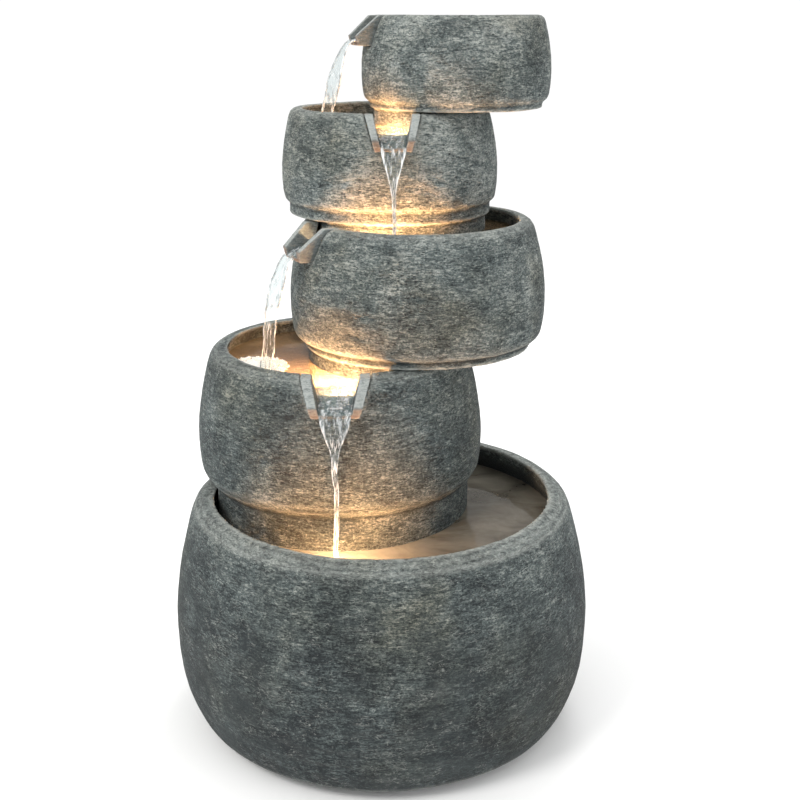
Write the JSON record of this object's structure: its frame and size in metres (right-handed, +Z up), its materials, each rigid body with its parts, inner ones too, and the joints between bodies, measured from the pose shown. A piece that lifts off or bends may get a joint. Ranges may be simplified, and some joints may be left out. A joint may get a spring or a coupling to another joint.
{
  "type": "cascading bowl water fountain",
  "caption": "Free-standing fountain of offset round stone-look bowls stacked on one another, with spouts, a hidden pump, a riser tube and underwater lamps.",
  "frame": {"origin": "on the ground, at the axis of the base bowl", "axes": "+Z up, -Y to the front, where the spouts of the second and the fourth bowl point"},
  "size_m": [0.52, 0.52, 0.86],
  "materials": {
    "stone": "rough cast, weathered grey-green",
    "spout_stone": "smoother cast, weathered grey",
    "rubber": "matt",
    "black_plastic": "fine texture",
    "grey_plastic": "fine texture",
    "clear_tube": "clear flexible pvc",
    "ceramic_shaft": "ground",
    "magnet_rotor": "moulded over a magnet",
    "steel": "stainless",
    "foam": "open-cell foam",
    "cable": "matt sheath",
    "led_board": "coated board with warm white emitters",
    "lamp_lens": "clear"
  },
  "bodies": {
    "base": {"base_bowl": "stone", "base_feet": "rubber", "gland_body": "black_plastic", "gland_nut": "black_plastic", "gland_seal": "rubber", "riser_tube": "clear_tube", "pump_body": "black_plastic", "pump_shaft": "ceramic_shaft", "pump_cover": "black_plastic", "pump_screws": "steel", "pump_cups": "rubber", "pump_lead": "cable", "junction_box": "black_plastic", "junction_lid": "grey_plastic", "lamp_1_housing": "black_plastic", "lamp_1_board": "led_board", "lamp_1_lens": "lamp_lens", "lamp_1_cup": "rubber", "lamp_1_cable": "cable"},
    "impeller": {"pump_impeller": "magnet_rotor"},
    "strainer": {"pump_strainer": "black_plastic", "filter_foam": "foam"},
    "dial": {"flow_dial": "grey_plastic"},
    "second": {"second_bowl": "stone", "second_spout": "spout_stone", "lamp_2_plug": "rubber", "lamp_2_housing": "black_plastic", "lamp_2_board": "led_board", "lamp_2_lens": "lamp_lens", "lamp_2_cup": "rubber", "lamp_2_cable": "cable"},
    "third": {"third_bowl": "stone", "third_spout": "spout_stone", "lamp_3_plug": "rubber", "lamp_3_housing": "black_plastic", "lamp_3_board": "led_board", "lamp_3_lens": "lamp_lens", "lamp_3_cup": "rubber", "lamp_3_cable": "cable"},
    "fourth": {"fourth_bowl": "stone", "fourth_spout": "spout_stone", "lamp_4_plug": "rubber", "lamp_4_housing": "black_plastic", "lamp_4_board": "led_board", "lamp_4_lens": "lamp_lens", "lamp_4_cup": "rubber", "lamp_4_cable": "cable"},
    "top": {"top_bowl": "stone", "top_spout": "spout_stone", "outlet_fitting": "black_plastic", "outlet_washer": "rubber", "outlet_nut": "black_plastic"}
  },
  "joints": [
    {"name": "second_lift", "type": "slide", "parent": "base", "child": "second", "axis": [0, 0, 1], "range_m": [0, 0.285]},
    {"name": "third_lift", "type": "slide", "parent": "second", "child": "third", "axis": [0, 0, 1], "range_m": [0, 0.105]},
    {"name": "fourth_lift", "type": "slide", "parent": "third", "child": "fourth", "axis": [0, 0, 1], "range_m": [0, 0.1]},
    {"name": "top_lift", "type": "slide", "parent": "fourth", "child": "top", "axis": [0, 0, 1], "range_m": [0, 0.085]},
    {"name": "impeller_spin", "type": "hinge", "parent": "base", "child": "impeller", "pos_m": [0, 0.053, 0.063], "axis": [1, 0, 0], "continuous": true},
    {"name": "strainer_pull", "type": "slide", "parent": "base", "child": "strainer", "axis": [1, 0, 0], "range_m": [0, 0.02]},
    {"name": "dial_turn", "type": "hinge", "parent": "strainer", "child": "dial", "pos_m": [0.0602, 0.068, 0.048], "axis": [1, 0, 0], "range_deg": [0, 90]}
  ]
}
